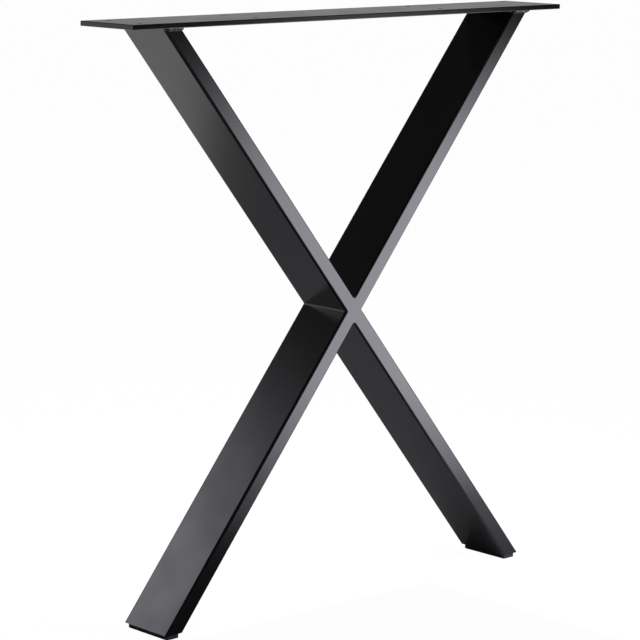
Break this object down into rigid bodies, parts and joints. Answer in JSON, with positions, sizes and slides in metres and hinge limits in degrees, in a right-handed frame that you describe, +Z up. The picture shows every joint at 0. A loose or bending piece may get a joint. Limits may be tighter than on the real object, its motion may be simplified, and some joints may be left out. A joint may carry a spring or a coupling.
{
  "type": "x shaped table leg",
  "caption": "X-shaped table leg of crossed rectangular steel tubes, welded under a flat mounting plate with screw holes and standing on slim foot pads.",
  "frame": {"origin": "on the floor, under the middle of the mounting plate", "axes": "+X along the mounting plate, +Y to the back through the tube's wide side, +Z up"},
  "size_m": [0.69, 0.0974, 0.72],
  "materials": {
    "powder_coat": "satin",
    "pad_plastic": "matte"
  },
  "bodies": {
    "root": {"mounting_plate": "powder_coat", "long_tube": "powder_coat", "upper_half_tube": "powder_coat", "lower_half_tube": "powder_coat", "upper_half_weld": "powder_coat", "lower_half_weld": "powder_coat", "left_plate_weld": "powder_coat", "right_plate_weld": "powder_coat", "left_end_plate": "powder_coat", "right_end_plate": "powder_coat", "left_foot_pad": "pad_plastic", "right_foot_pad": "pad_plastic"}
  },
  "joints": []
}
